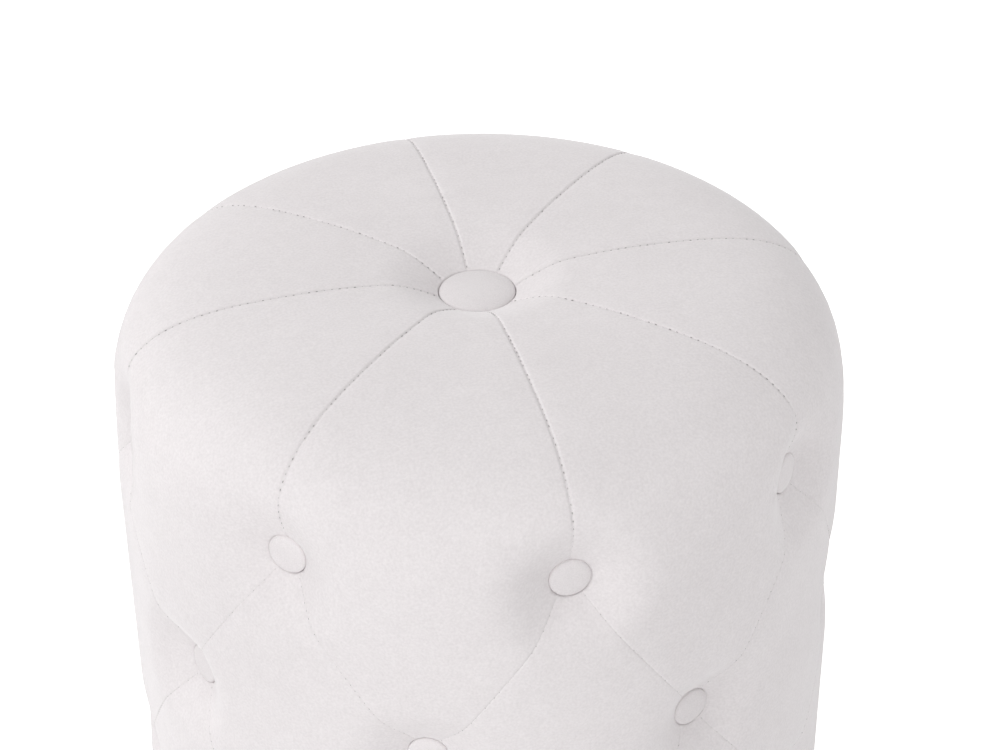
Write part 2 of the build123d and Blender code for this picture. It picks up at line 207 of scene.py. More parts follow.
# %% Dimples round the buttons
SIDE_DEPTH, SIDE_POCKET = 0.017, 0.0032
TOP_DEPTH, TOP_POCKET = 0.016, 0.0027
SIDE_FUNNELS = [(0.60, 0.025, 1.5), (0.40, 0.031, 1.7)]  # share of the depth, reach, steepness
TOP_FUNNELS = [(0.62, 0.026, 1.5), (0.38, 0.062, 1.6)]
LOBE_REACH, SEAM_REACH = 0.92, 0.15  # a dimple reaches further along a seam than into a panel
STEP_START, STEP_END, FUNNEL_START = 0.0001, 0.0005, 0.0006  # from the rim of the button


def smooth_step(value, low, high):
    """0 up to low, 1 from high on, and a smooth rise between them."""
    share = np.clip((value - low) / (high - low), 0, 1)
    return share * share * (3 - 2 * share)


def tuft(distance, button_radius, depth, pocket, funnels, stretch=1.0):
    """Drop of the velvet at a distance from the middle of a button."""
    from_rim = distance - button_radius
    drop = pocket * (1 - smooth_step(from_rim, STEP_START, STEP_END))
    for share, reach, steepness in funnels:
        away = np.clip((from_rim - FUNNEL_START) / (reach * stretch), 0, 1)
        drop = drop + (depth - pocket) * share * (1 - away) ** steepness
    return drop


def tuft_drop(turn, level):
    """Drop of the velvet from all the buttons together."""
    distance, along_seam = nearest_button(turn, level)
    stretch = LOBE_REACH + SEAM_REACH * along_seam
    side = tuft(distance, side_button_radius, SIDE_DEPTH, SIDE_POCKET, SIDE_FUNNELS, stretch)
    return side + tuft(seat_distance(level), top_button_radius, TOP_DEPTH, TOP_POCKET, TOP_FUNNELS)


beside = tuft_drop(np.array(0.07), np.array(row_heights[0]))
print(f"the velvet drops {float(beside) * 1000:.1f} mm just beside a button")

# %% [markdown]
# ## Where the seams run
#
# On the seat one seam runs from the big button to each button of the first row. Below a button two
# seams part and meet the buttons of the next row. Between two seams lies a panel: a gore on the
# seat, a diamond on the side. The mesh follows the seams: each ring round the pouf has sixteen
# panels, every other one closing to a point at a row of buttons, and its points crowd towards the
# seams. A plain grid would need far more points to keep the seams sharp.

# %% Seam angles on a ring
POCKET_HALF = 0.0099  # the panels stay this wide under a button, where nobody sees them end
CREASE_HALF = 0.0003


def closing_width(distance, slant):
    """Half the width of a panel that closes at a button, at a distance from it."""
    hidden = math.sqrt(max(0.0, POCKET_HALF**2 - distance**2))
    return max(hidden, slant * distance, CREASE_HALF)


def panel_half_angle(level):
    """Half the angle of the panels on the first row's columns, and which panels are closed."""
    radius = float(on_profile(level)[0])
    if level >= row_heights[0]:
        return closing_width(level - row_heights[0], 0.0) / radius, 0
    if level <= row_heights[-1]:
        last = (ROW_COUNT - 1) % 2
        closed = closing_width(row_heights[-1] - level, 0.0) / radius
        return (closed if last == 0 else column_step / 2 - closed), last
    upper = int((row_heights[0] - level) / row_pitch)
    below = row_heights[upper] - level
    if below <= row_pitch / 2:
        angle = closing_width(below, diamond_slant) / radius
    else:
        angle = column_step / 2 - closing_width(row_pitch - below, diamond_slant) / radius
    return (angle if upper % 2 == 0 else column_step / 2 - angle), None


sample_angle = panel_half_angle(row_heights[0] - 0.03)[0]
print(f"30 mm under the first row, half a panel is {math.degrees(sample_angle):.2f} degrees")

# %% [markdown]
# ## Let the velvet settle
#
# Velvet over foam isn't a formula: it stands out between the points that hold it. So a coarse copy
# of the cover, a little smaller than the pouf, is run through Blender's cloth. The buttons, the
# hem and, more softly, the seams hold it, and a light pressure from inside takes the place of the
# foam. How far each point moved out is kept as a table over angle and level, and the fine mesh
# reads it on the flanks of the dimples. The copy is then thrown away, so no simulation is left.


# %% Build meshes from rings of points
def ring_faces(ring_count, column_count, joined=False):
    """Faces between closed rings of points; joined ties the last ring to the first."""
    faces = []
    for ring in range(ring_count if joined else ring_count - 1):
        lower = ring * column_count
        upper = (ring + 1) % ring_count * column_count
        for column in range(column_count):
            after = (column + 1) % column_count
            faces.append((lower + column, lower + after, upper + after, upper + column))
    return faces


def build_piece(name, points, faces):
    """A smooth mesh object from points in metres."""
    mesh = bpy.data.meshes.new(name)
    mesh.from_pydata(np.asarray(points).reshape(-1, 3).tolist(), [], faces)
    mesh.polygons.foreach_set("use_smooth", [True] * len(mesh.polygons))
    mesh.update()
    piece = bpy.data.objects.new(name, mesh)
    bpy.context.scene.collection.objects.link(piece)
    return piece


print("meshes are built from rings of points")

# %% Hold the coarse copy
SETTLE_COLUMNS, SETTLE_STEP, SETTLE_START = 128, 0.008, 0.030
BUTTON_GRIP = 0.004  # past the rim of a button
SEAM_GRIP, SEAM_HOLD = 0.006, 0.12
settle_turns = np.arange(SETTLE_COLUMNS) * 2 * math.pi / SETTLE_COLUMNS
settle_end = level_at_radius(top_button_radius + BUTTON_GRIP)
settle_levels = np.arange(lip_level + SETTLE_START, settle_end, SETTLE_STEP)


def settle_holds(turn, level):
    """How firmly each point is held: fully at the buttons and the hem, softly along the seams."""
    hold = np.where(side_distance(turn, level) < side_button_radius + BUTTON_GRIP, 1.0, 0.0)
    for ring, ring_level in enumerate(level[:, 0]):
        half_angle = panel_half_angle(ring_level)[0]
        radius = float(on_profile(ring_level)[0])
        column = turn[ring] / column_step
        offset = np.abs(column - np.round(column)) * column_step
        near = np.abs(offset - half_angle) * radius < SEAM_GRIP
        hold[ring] = np.maximum(hold[ring], np.where(near, SEAM_HOLD, 0.0))
    hold[level < hem_height + HEM_ROUND] = 1.0
    hold[-2:] = 1.0
    return hold


print(len(settle_levels), "rings of", SETTLE_COLUMNS, "points to settle")

# %% Run the cloth
PUFF, PUFF_CAP = 0.0012, 0.006  # how far the velvet gives way between its holds, and at most
SETTLE_FRAMES = 20
PANEL_PERCENT, SHARE_CAP = 85, 1.2  # what this percentage of the points stay under counts as 1


def simulate(cloth_piece):
    """Where the points of a piece lie when its cloth has come to rest."""
    cloth = cloth_piece.modifiers.new("Cloth", "CLOTH")
    cloth.settings.quality = 6
    cloth.settings.vertex_group_mass = "held"
    cloth.settings.use_pressure = True
    cloth.settings.uniform_pressure_force = 4.0
    cloth.settings.effector_weights.gravity = 0.0
    cloth.collision_settings.use_collision = False
    cloth.collision_settings.use_self_collision = False
    cloth.point_cache.frame_end = SETTLE_FRAMES
    scene = bpy.context.scene
    for number in range(1, SETTLE_FRAMES + 1):
        scene.frame_set(number)
    settled = cloth_piece.evaluated_get(bpy.context.evaluated_depsgraph_get())
    moved = np.empty(len(cloth_piece.data.vertices) * 3)
    settled.data.vertices.foreach_get("co", moved)
    scene.frame_set(1)
    return moved


def settle_velvet():
    """Outward movement of the velvet, from 0 at its holds to about 1 in the middle of a panel."""
    level, turn = np.meshgrid(settle_levels, settle_turns, indexing="ij")
    start = velvet_points(turn, level, PUFF + (1 - PUFF / SIDE_DEPTH) * tuft_drop(turn, level))
    faces = ring_faces(len(settle_levels), SETTLE_COLUMNS)
    cloth_piece = build_piece("settling_velvet", start, faces)
    group = cloth_piece.vertex_groups.new(name="held")
    for index, hold in enumerate(settle_holds(turn, level).ravel()):
        if hold > 0:
            group.add([index], float(hold), "REPLACE")
    moved = simulate(cloth_piece).reshape(start.shape)
    swell = ((moved - start) * outward_at(turn, level)).sum(axis=-1)
    mesh = cloth_piece.data
    bpy.data.objects.remove(cloth_piece)
    bpy.data.meshes.remove(mesh)
    print(f"the velvet swells by up to {swell.max() * 1000:.1f} mm")
    swell = np.clip(swell, 0, PUFF_CAP)
    return np.clip(swell / max(np.percentile(swell, PANEL_PERCENT), 1e-6), 0, SHARE_CAP)


settle_share = settle_velvet()
print("settled table:", settle_share.shape, "mean", round(float(settle_share.mean()), 2))

# %% Read the settled velvet anywhere
FLANK_TOP, FLANK_END = 0.020, 0.044  # the settling shows most at the first distance from a button


def settle_drop(turn, level):
    """Drop that the settling leaves, read between the points of the coarse copy."""
    ring = np.interp(level, settle_levels, np.arange(len(settle_levels)))
    column = (turn / (2 * math.pi) * SETTLE_COLUMNS) % SETTLE_COLUMNS
    ring_low = np.minimum(ring.astype(int), len(settle_levels) - 2)
    column_low = column.astype(int) % SETTLE_COLUMNS
    after = (column_low + 1) % SETTLE_COLUMNS
    up, along = ring - ring_low, column - np.floor(column)
    low, high = (settle_share[row, column_low] * (1 - along) + settle_share[row, after] * along
                 for row in (ring_low, ring_low + 1))
    distance = side_distance(turn, level)
    flank = smooth_step(distance, side_button_radius, FLANK_TOP)
    flank = flank * (1 - smooth_step(distance, FLANK_TOP, FLANK_END))
    return PUFF * flank * (1 - (low * (1 - up) + high * up))


def form_drop(turn, level):
    """Everything that moves the velvet but its seams."""
    return tuft_drop(turn, level) + settle_drop(turn, level)


print(f"the settling moves the flanks by {PUFF * 1000:.1f} mm at most")

# %% [markdown]
# ## The velvet cover
#
# Rings are set close together where the form turns fast, at the rows of buttons and at the big
# button, and wider apart on the plain wall. On each ring the points crowd towards the seams, where
# a narrow crease is let in. The inner face of the cloth follows just under two millimetres below
# with fewer rings, and both are tied together at the hem and at the hole for the twine, so that
# the cover is a closed piece of cloth and not an open shell.

# %% Levels of the rings
FINE_STEP, WIDE_STEP, STEP_GROWTH = 0.00045, 0.0045, 0.14
RIM_BAND, HEM_BAND = 0.0012, 0.012  # the rings stay close this far from a rim and from the hem
TWINE_HOLE = 0.004
LAST_GAP = 0.001


def ring_step(level):
    """Distance to the next ring: close at the rims of the buttons, wider away from them."""
    rim = min(abs(abs(level - height) - side_button_radius) for height in row_heights)
    if level > row_heights[0]:
        rim = min(rim, abs(level - level_at_radius(top_button_radius)))
    near = min(rim - RIM_BAND, abs(level - hem_height) - HEM_BAND)
    return min(WIDE_STEP, FINE_STEP + STEP_GROWTH * max(0.0, near))


cover_levels = [lip_level]
last_level = level_at_radius(TWINE_HOLE)
while cover_levels[-1] < last_level - LAST_GAP:
    cover_levels.append(cover_levels[-1] + ring_step(cover_levels[-1]))
cover_levels[-1] = last_level
print(len(cover_levels), "rings on the cover")

# %% Points of the rings
PANEL_OFFSETS = np.array([0, 0.35, 0.8, 1.8, 3.8, 7.2, 12.5, 19.5, 28.5, 39, 50, 61, 72.5])
panel_shares = PANEL_OFFSETS / PANEL_OFFSETS[-1] / 2
panel_shares = np.concatenate([panel_shares, 1 - panel_shares[-2:0:-1]])
seam_square = row_pitch / math.hypot(row_pitch, half_column)


def cover_ring(level):
    """Angles of one ring of the cover, and the distance of each point to its seam."""
    half_angle, closed = panel_half_angle(level)
    radius = float(on_profile(level)[0])
    square = 1.0 if closed is not None else seam_square
    turns, away = [], []
    for column in range(COLUMN_COUNT):
        middle = column * column_step
        edges = (middle - half_angle, middle + half_angle, middle + column_step - half_angle)
        for panel in (0, 1):
            width = edges[panel + 1] - edges[panel]
            turns.append(edges[panel] + panel_shares * width)
            gap = np.minimum(panel_shares, 1 - panel_shares) * width * radius * square
            away.append(np.zeros_like(gap) if closed == panel else gap)
    return np.concatenate(turns), np.concatenate(away)


rings = [cover_ring(level) for level in cover_levels]
turn_grid, seam_away = (np.array(part) for part in zip(*rings))
level_grid = np.repeat(np.array(cover_levels)[:, None], turn_grid.shape[1], axis=1)
print(turn_grid.shape[1], "points on each ring")

# %% Sink the seams
SEAT_CREASE, WALL_CREASE, CREASE_WIDTH = 0.00062, 0.00027, 0.00045
CREASE_FADE = 0.07  # the crease grows over this length above the first row
VALLEY_DEPTH, VALLEY_WIDTH = 0.0003, 0.005
CLEAR_START, CLEAR_END = 0.0005, 0.002  # from the rim of a button
HEM_FADE = 0.02


def crease_depth(level):
    """Depth of the crease in a seam: deep on the seat, where it is drawn hard, less on the wall."""
    rise = smooth_step(level, row_heights[0], row_heights[0] + CREASE_FADE)
    return WALL_CREASE + (SEAT_CREASE - WALL_CREASE) * rise


def seam_drop(turn, level, away):
    """A narrow crease in a shallow valley, fading out where a button covers the seam."""
    clear = smooth_step(level, hem_height - HEM_FADE, hem_height)
    for distance, radius in ((side_distance(turn, level), side_button_radius),
                             (seat_distance(level), top_button_radius)):
        clear = clear * smooth_step(distance - radius, CLEAR_START, CLEAR_END)
    crease = crease_depth(level) * np.exp(-((away / CREASE_WIDTH) ** 2))
    return (crease + VALLEY_DEPTH * np.exp(-((away / VALLEY_WIDTH) ** 2))) * clear


seam_form = seam_drop(turn_grid, level_grid, seam_away)
print(f"the seams are up to {seam_form.max() * 1000:.2f} mm deep")

# %% Pleat the edge and close the cloth
PLEAT_COUNT, PLEAT_RISE = 48, 0.0013
PLEAT_START, PLEAT_END = 0.004, 0.02  # under the hem
PLEAT_INNER, PLEAT_OUTER = 0.146, 0.156  # radii between which they fade out
VELVET_THICKNESS = 0.0018
LINING_STEP = 3
under_base = smooth_step(hem_height - level_grid, PLEAT_START, PLEAT_END)
under_base = under_base * smooth_step(on_profile(level_grid)[0], PLEAT_INNER, PLEAT_OUTER)
pleats = -PLEAT_RISE * under_base * np.abs(np.sin(turn_grid * PLEAT_COUNT / 2))
velvet_form = form_drop(turn_grid, level_grid)
outer = velvet_points(turn_grid, level_grid, velvet_form + seam_form + pleats)
lining = list(range(0, len(cover_levels) - 1, LINING_STEP)) + [len(cover_levels) - 1]
inner = velvet_points(turn_grid[lining], level_grid[lining],
                      velvet_form[lining] + VELVET_THICKNESS)
cloth = np.concatenate([outer, inner[::-1]])
cloth_faces = ring_faces(len(cloth), cloth.shape[1], joined=True)
cover = build_piece("tufted_velvet_cover", cloth, cloth_faces)
cover_area = sum(face.area for face in cover.data.polygons) / 2
print(f"the cover has {len(cloth_faces)} faces and {cover_area:.3f} square metres of velvet")

# %% [markdown]
# ## Stitches
#
# A sewing machine made the seams, and its thread shows as a fine dotted line in each crease. The
# thread is drawn dark grey, which is painted shade of the needle holes. A stitch is a short tapered
# thread that dives into the velvet at both ends. Thousands of them as separate objects would be
# slow to handle, so one small form is placed along every seam and all of them go into one mesh. On
# the wall, where the seams are drawn less, the stitches are smaller.

# %% Follow every seam
SEAM_STEP = 0.001
RIM_CLEAR = 0.0012  # the thread ends this far from the rim of a button
slant_angle = column_step / 2 / row_pitch


def seam_line(upper_turn, slant, upper, start, end):
    """Points along a seam that slants from a button, and the outward direction at each."""
    level = np.linspace(start, end, int(abs(end - start) / SEAM_STEP) + 2)
    turn = upper_turn + slant * (upper - level)
    drop = form_drop(turn, level) + VALLEY_DEPTH + crease_depth(level) / 2
    return velvet_points(turn, level, drop), outward_at(turn, level)


seam_lines = []
rim_clear = side_button_radius + RIM_CLEAR
slant_clear = rim_clear * seam_square
seat_end = level_at_radius(top_button_radius + RIM_CLEAR)
for column in range(COLUMN_COUNT):
    turns = [(column + row % 2 / 2) * column_step for row in range(ROW_COUNT)]
    seam_lines.append(seam_line(turns[0], 0, 0, seat_end, row_heights[0] + rim_clear))
    for turn, upper, lower in zip(turns, row_heights, row_heights[1:]):
        for slant in (-slant_angle, slant_angle):
            seam_lines.append(seam_line(turn, slant, upper, upper - slant_clear,
                                        lower + slant_clear))
    seam_lines.append(seam_line(turns[-1], 0, 0, row_heights[-1] - rim_clear, hem_height))
print(len(seam_lines), "seams")

# %% Find the places of the stitches
STITCH_PITCH, STITCH_LENGTH, STITCH_RADIUS = 0.0038, 0.0013, 0.00022


def stitches_on(points, outward):
    """Middles, directions and outward directions of the stitches along one seam."""
    steps = np.linalg.norm(np.diff(points, axis=0), axis=1)
    run = np.concatenate([[0], np.cumsum(steps)])
    at = np.arange(STITCH_PITCH / 2, run[-1] - STITCH_PITCH / 4, STITCH_PITCH)

    def read(where, values):
        return np.stack([np.interp(where, run, values[:, axis]) for axis in range(3)], axis=-1)

    along = read(at + SEAM_STEP, points) - read(at - SEAM_STEP, points)
    along = along / np.linalg.norm(along, axis=1, keepdims=True)
    return read(at, points), along, read(at, outward)


sewn = [stitches_on(points, outward) for points, outward in seam_lines]
middles, alongs, outs = (np.concatenate(part) for part in zip(*sewn))
sides = np.cross(alongs, outs)
sides /= np.linalg.norm(sides, axis=1, keepdims=True)
outs = np.cross(sides, alongs)
print(len(middles), "stitches")

# %% Sew them
STITCH_SIDES = 6
LOOSEST, TIGHTEST = 0.3, 1.0
WALL_STITCH, SEAT_GAIN, SEAT_FADE = 0.6, 0.45, 0.05  # stitches grow from the first row upwards
STITCH_FORM = [(-0.5, 0.0, -0.8), (-0.30, 0.9, 0.0), (0.0, 1.0, 0.25), (0.30, 0.9, 0.0),
               (0.5, 0.0, -0.8)]  # share of the length, thickness, rise
tightness = np.random.default_rng(3).uniform(LOOSEST, TIGHTEST, len(middles))[:, None]
on_seat = smooth_step(middles[:, 2:], row_heights[0], row_heights[0] + SEAT_FADE)
tightness = tightness * (WALL_STITCH + SEAT_GAIN * on_seat)
thread_points, thread_faces = [], []
for share, swell, rise in STITCH_FORM:
    for side in range(STITCH_SIDES if swell else 1):
        angle = 2 * math.pi * side / STITCH_SIDES
        offset = sides * math.cos(angle) * swell + outs * (math.sin(angle) * swell + rise)
        reach = alongs * share * STITCH_LENGTH + offset * STITCH_RADIUS
        thread_points.append(middles + reach * tightness)
thread_points = np.stack(thread_points, axis=1)


def capped_faces(ring_count, column_count):
    """Faces of rings between a first and a last point."""
    faces = []
    last = 1 + (ring_count - 1) * column_count
    for column in range(column_count):
        after = (column + 1) % column_count
        faces.append((0, 1 + after, 1 + column))
        for ring in range(ring_count - 1):
            low, high = 1 + ring * column_count, 1 + (ring + 1) * column_count
            faces.append((low + column, low + after, high + after, high + column))
        faces.append((last + column, last + after, last + column_count))
    return faces


stitch_faces = capped_faces(len(STITCH_FORM) - 2, STITCH_SIDES)
for stitch in range(len(middles)):
    first = stitch * thread_points.shape[1]
    thread_faces += [tuple(first + corner for corner in face) for face in stitch_faces]
stitches = build_piece("seam_stitches", thread_points, thread_faces)
print("a stitch has", len(stitch_faces), "faces")

# %% [markdown]
# ## Covered buttons
#
# A covered button is a metal shell with the same velvet drawn over it: flat at the back, a rolled
# rim, a low dome. A profile turned round an axis gives that form, and a slight unevenness of the
# rim shows that cloth is gathered behind it. Each button of the side is tilted by a degree or two,
# because no twine pulls quite square.

# %% Turn a button
SIDE_PROFILE = [(0.86, 0.0), (0.955, 0.0003), (0.995, 0.0011), (1.0, 0.0020), (0.996, 0.0027),
                (0.98, 0.0032), (0.945, 0.0036), (0.89, 0.00385), (0.80, 0.0041), (0.62, 0.0044),
                (0.40, 0.00455), (0.18, 0.0046)]  # share of the radius, height
TOP_PROFILE = [(0.90, 0.0), (0.972, 0.0004), (0.997, 0.0011), (1.0, 0.0017), (0.993, 0.0023),
               (0.975, 0.0027), (0.94, 0.0031), (0.87, 0.0035), (0.76, 0.0039), (0.60, 0.0043),
               (0.40, 0.0046), (0.18, 0.0047)]
SIDE_SEGMENTS, SIDE_GATHERS = 48, 0.004
TOP_SEGMENTS, TOP_GATHERS = 96, 0.0025
GATHER_COUNT, GATHER_ROWS = 11, 4


def turned(profile, segments, gathers=0):
    """Points and faces of a profile turned round Z, closed at the bottom and at the top."""
    points = [(0.0, 0.0, profile[0][1])]
    for number, (radius, height) in enumerate(profile):
        for segment in range(segments):
            angle = 2 * math.pi * segment / segments
            gathered = gathers if number < GATHER_ROWS else 0
            uneven = radius * (1 + gathered * math.sin(GATHER_COUNT * angle))
            points.append((uneven * math.cos(angle), uneven * math.sin(angle), height))
    points.append((0.0, 0.0, profile[-1][1]))
    return np.array(points), capped_faces(len(profile), segments)


def placed_copies(name, points, faces, places):
    """One piece from a form set at several places."""
    all_points, all_faces = [], []
    for number, place in enumerate(places):
        matrix = np.array(place)
        all_points.append(points @ matrix[:3, :3].T + matrix[:3, 3])
        first = number * len(points)
        all_faces += [tuple(first + corner for corner in face) for face in faces]
    return build_piece(name, np.concatenate(all_points), all_faces)


side_profile = [(share * side_button_radius, height) for share, height in SIDE_PROFILE]
top_profile = [(share * top_button_radius, height) for share, height in TOP_PROFILE]
side_form, side_faces = turned(side_profile, SIDE_SEGMENTS, SIDE_GATHERS)
top_form, top_faces = turned(top_profile, TOP_SEGMENTS, TOP_GATHERS)
print("a side button has", len(side_faces), "faces, the top button", len(top_faces))

# %% Set the buttons
MOST_LEAN, MOST_SPIN = 1.6, 180  # degrees
tilts = np.random.default_rng(7)
button_pieces = []
for row, row_height in enumerate(row_heights):
    places = []
    for column in range(COLUMN_COUNT):
        turn = (column + row % 2 / 2) * column_step
        outward = Vector((math.cos(turn), math.sin(turn), 0))
        pocket = outward * (body_radius - SIDE_DEPTH) + Vector((0, 0, row_height))
        angles = tilts.uniform(-1, 1, 3) * np.radians([MOST_LEAN, MOST_LEAN, MOST_SPIN])
        place = Matrix.Translation(pocket) @ outward.to_track_quat("Z", "Y").to_matrix().to_4x4()
        for angle, axis in zip(angles, "XYZ"):
            place = place @ Matrix.Rotation(angle, 4, axis)
        places.append(place)
    row_piece = placed_copies(f"covered_buttons_row_{row + 1}", side_form, side_faces, places)
    button_pieces.append(row_piece)
seat_place = Matrix.Translation((0, 0, top_button_low[2]))
seat_button = placed_copies("covered_seat_button", top_form, top_faces, [seat_place])
print(len(button_pieces) * COLUMN_COUNT + 1, "covered buttons")

# %% [markdown]
# ## Foam under the velvet
#
# A sheet of foam is wrapped round the drum and a thicker pad lies on its top. Both are pressed in
# by the buttons, so they are drawn with the same formula as the velvet, a little deeper. Nobody
# sees them while the cover is on, but the part is also used with the cover taken off, so they are
# whole pieces with their own seat and thickness.

# %% Wrap and pad
FOAM_INSET, FOAM_GAP = 0.0036, 0.0003
FOAM_COLUMNS, FOAM_STEP = 192, 0.005
WRAP_END, PAD_END = 0.002, 0.003  # shortest step to the last ring
wall_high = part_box("wall_sheet")[1]
wall_radius, frame_top = wall_high[0] + FOAM_GAP, wall_high[2]
foam_turns = np.arange(FOAM_COLUMNS) * 2 * math.pi / FOAM_COLUMNS


def foam_rings(start, end, shortest):
    """Rings of foam from one level to another."""
    levels = np.append(np.arange(start, end - shortest, FOAM_STEP), end)
    level, turn = np.meshgrid(levels, foam_turns, indexing="ij")
    return velvet_points(turn, level, form_drop(turn, level) + FOAM_INSET)


hem_level = line_levels[1]
split_level = float(np.interp(frame_top, line_heights[HEM_POINTS:], line_levels[HEM_POINTS:]))
wrap_rings = foam_rings(hem_level, split_level, WRAP_END)
wrap_rings[-1, :, 2] = frame_top - FOAM_GAP
wrap_foot = round_axis(wall_radius, foam_turns, wrap_rings[0, 0, 2])
wrap_head = round_axis(wall_radius, foam_turns, frame_top - FOAM_GAP)
wrap = np.concatenate([[wrap_foot], wrap_rings, [wrap_head]])
foam_wrap = build_piece("foam_wrap", wrap, ring_faces(len(wrap), FOAM_COLUMNS, joined=True))
pad_rings = foam_rings(split_level, last_level, PAD_END)
pad_rings[0, :, 2] = frame_top + FOAM_GAP
pad_hole = round_axis(TWINE_HOLE, foam_turns, frame_top + FOAM_GAP)
pad = np.concatenate([[pad_hole], pad_rings])
foam_pad = build_piece("foam_pad", pad, ring_faces(len(pad), FOAM_COLUMNS, joined=True))
print("foam wrap", len(wrap), "rings, foam pad", len(pad), "rings")

# %% [markdown]
# ## Underside
#
# Upside down, the pouf shows the velvet turned under in small pleats, a round of black nonwoven
# cloth that hides the staples of the cover, its own staples round the edge, and four nail-on
# glides. The nonwoven is a thin sheet with its edge folded in. The staples are one bent wire
# placed 24 times, and the glides are turned from a profile.

# %% Dust cloth
DUST_COLUMNS, DUST_FOLD = 144, 0.015
FOLD_START, FOLD_END, FOLD_RISE = 0.0006, 0.0002, 0.00035
RIPPLE_COUNT, RIPPLE_RISE = 12, 0.00016  # between the staples
RIPPLE_START, RIPPLE_FULL = 0.07, 0.13
WAVE_COUNT, WAVE_TWIST, WAVE_RISE = 3, 40, 0.00012  # over the middle
WAVE_FULL, WAVE_END = 0.03, 0.12
DUST_LOWER, DUST_UPPER = 0.00048, 0.0001  # the faces, in from the solid's
dust_low, dust_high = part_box("dust_cover")
dust_radius = dust_high[0]
fold_radius = dust_radius - DUST_FOLD
dust_radii = np.array([0.004, 0.02, 0.04, 0.06, 0.08, 0.095, 0.108, 0.118, 0.125,
                       fold_radius - FOLD_START, fold_radius + FOLD_END,
                       0.133, 0.138, 0.1415, dust_radius])
dust_turns = np.arange(DUST_COLUMNS) * 2 * math.pi / DUST_COLUMNS


def dust_height(radius, turn):
    """Lower face of the dust cloth: drawn tight, with faint ripples and a folded edge."""
    ripple = np.sin(RIPPLE_COUNT * turn) ** 2 * smooth_step(radius, RIPPLE_START, RIPPLE_FULL)
    wave = np.sin(WAVE_COUNT * turn + WAVE_TWIST * radius)
    wave = wave * (1 - smooth_step(radius, WAVE_FULL, WAVE_END))
    fold = smooth_step(radius - fold_radius, -FOLD_START, FOLD_END)
    uneven = WAVE_RISE * wave + RIPPLE_RISE * ripple - FOLD_RISE * fold
    return dust_low[2] + DUST_LOWER + uneven


dust_grid, dust_spin = np.meshgrid(dust_radii, dust_turns, indexing="ij")
dust_lower = round_axis(dust_grid, dust_spin, dust_height(dust_grid, dust_spin))
dust_upper = dust_lower.copy()[::-1]
dust_upper[..., 2] = dust_high[2] - DUST_UPPER
dust_points = np.concatenate([dust_lower, dust_upper])
dust_faces = ring_faces(len(dust_points), DUST_COLUMNS)
dust_faces.append(tuple(reversed(range(DUST_COLUMNS))))
last_ring = (len(dust_points) - 1) * DUST_COLUMNS
dust_faces.append(tuple(range(last_ring, last_ring + DUST_COLUMNS)))
dust_cloth = build_piece("dust_cloth", dust_points, dust_faces)
print(f"dust cloth {2 * dust_radius:.3f} m across")

# %% Staples
STAPLE_COUNT, STAPLE_RADIUS, STAPLE_LIFT = 24, 0.1365, 0.0002
STAPLE_SKEW = 0.06  # radians, because they are shot by hand
WIRE_WIDTH, WIRE_THICKNESS = 0.0009, 0.0005
STAPLE_LINE = [(-0.0050, 0.0042), (-0.0050, 0.0005), (-0.0047, 0.0001), (-0.0042, 0.0),
               (0.0042, 0.0), (0.0047, 0.0001), (0.0050, 0.0005), (0.0050, 0.0042)]
wire_points = []
for number, (along, up) in enumerate(STAPLE_LINE):
    before = STAPLE_LINE[max(number - 1, 0)]
    after = STAPLE_LINE[min(number + 1, len(STAPLE_LINE) - 1)]
    way = Vector((after[0] - before[0], after[1] - before[1])).normalized()
    for wide, thick in ((-1, -1), (1, -1), (1, 1), (-1, 1)):
        shift = thick * WIRE_THICKNESS / 2
        wire_points.append((along - way.y * shift, wide * WIRE_WIDTH / 2, up + way.x * shift))
wire_ends = [(3, 2, 1, 0), tuple(range(len(wire_points) - 4, len(wire_points)))]
wire_faces = [face[::-1] for face in ring_faces(len(STAPLE_LINE), 4) + wire_ends]
staple_places = []
for number in range(STAPLE_COUNT):
    turn = 2 * math.pi * (number + 0.5) / STAPLE_COUNT
    spot = Vector((STAPLE_RADIUS * math.cos(turn), STAPLE_RADIUS * math.sin(turn),
                   dust_low[2] + STAPLE_LIFT))
    twist = turn + math.pi / 2 + STAPLE_SKEW * math.sin(5 * number)
    staple_places.append(Matrix.Translation(spot) @ Matrix.Rotation(twist, 4, "Z"))
staples = placed_copies("dust_cloth_staples", np.array(wire_points), wire_faces, staple_places)
for face in staples.data.polygons:
    face.use_smooth = False
print(STAPLE_COUNT, "staples")

# %% Glides
GLIDE_PROFILE = [(0.0028, 0.0006), (0.0034, 0.0001), (0.0040, 0.0), (0.0086, 0.0),
                 (0.0101, 0.0003), (0.0112, 0.0012), (0.0118, 0.0026), (0.0120, 0.0042),
                 (0.0118, 0.0049), (0.0110, 0.0050), (0.0016, 0.0050)]
GLIDE_SEGMENTS = 40
glide_form, glide_faces = turned(GLIDE_PROFILE, GLIDE_SEGMENTS)
glide_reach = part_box("glides")[1][0] - max(radius for radius, height in GLIDE_PROFILE)
glide_places = [Matrix.Translation((x * glide_reach, y * glide_reach, 0))
                for x in (-1, 1) for y in (-1, 1)]
glides = placed_copies("nail_on_glides", glide_form, glide_faces, glide_places)
print(len(glide_places), "glides")

# %% [markdown]
# ## Finishes
#
# Every finish is mixed from noise in the space of the object, so it has a true scale in metres and
# needs no picture and no unwrapping. Colour and a small bump come from the same kind of noise at
# different sizes: broad cloudy patches, a fine grain, and for wood a grain stretched along the
# boards.


# %% A shared start for finishes
def set_inputs(node, **values):
    """Fixed values on the node's own sockets; an underscore stands for a space."""
    for socket, value in values.items():
        node.inputs[socket.replace("_", " ")].default_value = value
    return node


def add_node(tree, kind, **values):
    """A new node of a kind, with fixed values."""
    return set_inputs(tree.nodes.new("ShaderNode" + kind), **values)


